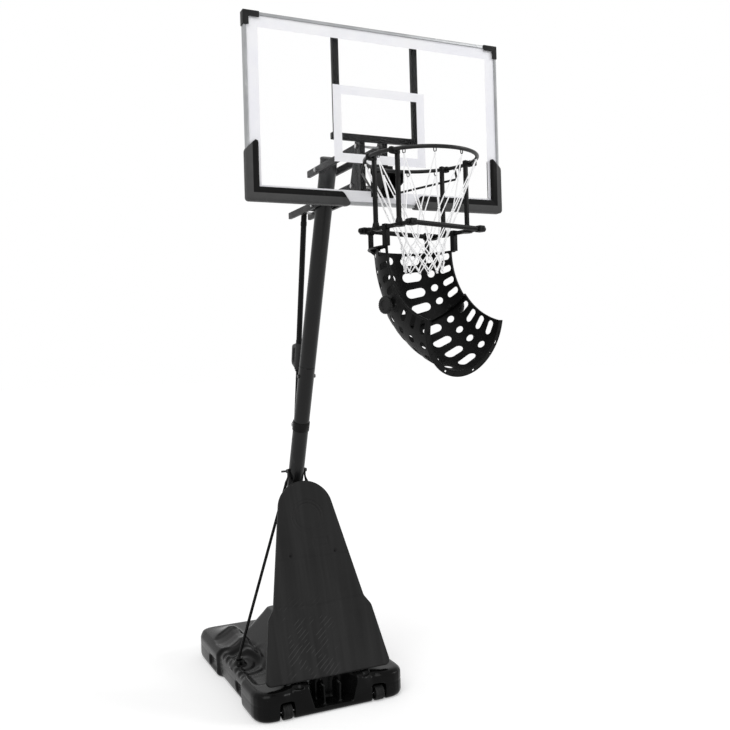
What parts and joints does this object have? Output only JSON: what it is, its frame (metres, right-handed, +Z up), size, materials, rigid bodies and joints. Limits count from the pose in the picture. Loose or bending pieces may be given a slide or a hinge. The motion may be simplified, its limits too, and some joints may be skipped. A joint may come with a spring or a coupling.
{
  "type": "basketball return system",
  "caption": "Free-standing basketball hoop on a ballasted wheeled base, with a lift linkage behind its clear board and a slotted ball return chute hung under the rim.",
  "frame": {"origin": "centre of the base's underside, on the floor", "axes": "+Z up; -Y is the hoop side, where the ball comes back; +X is on the right of someone who looks at the hoop from the court's side, along +Y"},
  "size_m": [1.284, 2.6314, 3.373],
  "materials": {
    "tank": "satin blow-moulded",
    "cover": "matte moulded",
    "pole_steel": "satin powder coat",
    "black_steel": "satin powder coat",
    "zinc_steel": "zinc plated",
    "black_plastic": "fine texture",
    "edge_aluminium": "dark anodised",
    "clear_board": "clear, with a printed pale border and target",
    "corner_guard": "soft moulded, two-tone",
    "chute_plastic": "satin moulded",
    "wheel_plastic": "moulded, scuffed",
    "net_cord": "braided cord"
  },
  "bodies": {
    "stand": {"base_tank": "tank", "filler_cap": "tank", "wheel_axle_left": "zinc_steel", "wheel_axle_right": "zinc_steel", "pole_lower": "pole_steel", "pole_upper": "pole_steel", "pole_cap": "black_plastic", "pole_joint_bolt": "zinc_steel", "brace_bolt": "zinc_steel", "side_brace_left": "black_steel", "side_brace_right": "black_steel", "front_strut_left": "black_steel", "front_strut_right": "black_steel", "front_cover": "cover", "cover_screw_left": "zinc_steel", "cover_screw_right": "zinc_steel", "strut_bracket": "pole_steel", "strut_anchor_bolt": "zinc_steel", "strut_rod": "black_steel", "upper_pivot_bolt": "zinc_steel", "lower_pivot_bolt": "zinc_steel"},
    "left_wheel": {"wheel_left": "wheel_plastic"},
    "right_wheel": {"wheel_right": "wheel_plastic"},
    "lower_arms": {"lower_arm_left": "pole_steel", "lower_arm_right": "pole_steel", "lower_arm_spacer": "black_plastic"},
    "upper_arms": {"upper_arm_left": "pole_steel", "upper_arm_right": "pole_steel"},
    "board": {"board_bracket_left": "black_steel", "board_bracket_right": "black_steel", "cross_bar": "black_steel", "rear_upright_left": "black_steel", "rear_upright_right": "black_steel", "carrier_upper_bolt": "zinc_steel", "carrier_lower_bolt": "zinc_steel", "board_panel": "clear_board", "frame_top": "edge_aluminium", "frame_right": "edge_aluminium", "frame_bottom": "edge_aluminium", "frame_left": "edge_aluminium", "corner_cap_left": "corner_guard", "corner_cap_right": "corner_guard", "corner_pad_left": "corner_guard", "corner_pad_right": "corner_guard", "rim_bracket": "black_steel", "rim_ring": "black_steel", "net": "net_cord", "hanger_left": "black_steel", "hanger_right": "black_steel", "cross_tube_front": "black_steel", "cross_tube_rear": "black_steel", "hanger_clamp_knob": "black_plastic", "chute_upper": "chute_plastic", "hinge_knob_left": "black_plastic", "hinge_knob_right": "black_plastic"},
    "strut_slider": {"strut_tube": "pole_steel", "strut_head_pin": "zinc_steel", "grip_handle": "black_plastic"},
    "trigger": {"grip_trigger": "black_plastic"},
    "lower_chute": {"chute_lower": "chute_plastic"}
  },
  "joints": [
    {"name": "left_wheel_spin", "type": "hinge", "parent": "stand", "child": "left_wheel", "pos_m": [-0.265, -0.596, 0.0425], "axis": [1, 0, 0], "continuous": true},
    {"name": "right_wheel_spin", "type": "hinge", "parent": "stand", "child": "right_wheel", "pos_m": [0.265, -0.596, 0.0425], "axis": [1, 0, 0], "continuous": true},
    {"name": "lift", "type": "hinge", "parent": "stand", "child": "lower_arms", "pos_m": [0, -0.66779, 2.69], "axis": [-1, 0, 0], "range_deg": [-40, 40]},
    {"name": "upper_arm_swing", "type": "hinge", "parent": "stand", "child": "upper_arms", "pos_m": [0, -0.73115, 2.862], "axis": [-1, 0, 0], "range_deg": [-40.5, 40.5]},
    {"name": "board_level", "type": "hinge", "parent": "lower_arms", "child": "board", "pos_m": [0, -1.18765, 2.69], "axis": [-1, 0, 0], "range_deg": [-40.5, 40.5]},
    {"name": "strut_slide", "type": "slide", "parent": "stand", "child": "strut_slider", "axis": [0, -0.1901, 0.9818], "range_m": [-0.2, 0.2]},
    {"name": "trigger_squeeze", "type": "hinge", "parent": "strut_slider", "child": "trigger", "pos_m": [0, -0.20336, 1.96166], "axis": [1, 0, 0], "range_deg": [0, 6], "stiffness_Nm_per_rad": 0.6, "springref_deg": -5.73},
    {"name": "chute_tilt", "type": "hinge", "parent": "board", "child": "lower_chute", "pos_m": [-0.00289, -1.71371, 2.09393], "axis": [0.9659, 0.2588, 0], "range_deg": [-12, 15]}
  ],
  "couplings": [
    {"joint": "upper_arm_swing", "follows": "lift", "ratio": 1},
    {"joint": "board_level", "follows": "lift", "ratio": -1},
    {"joint": "strut_slide", "follows": "lift", "m_per_rad": -0.2646}
  ]
}
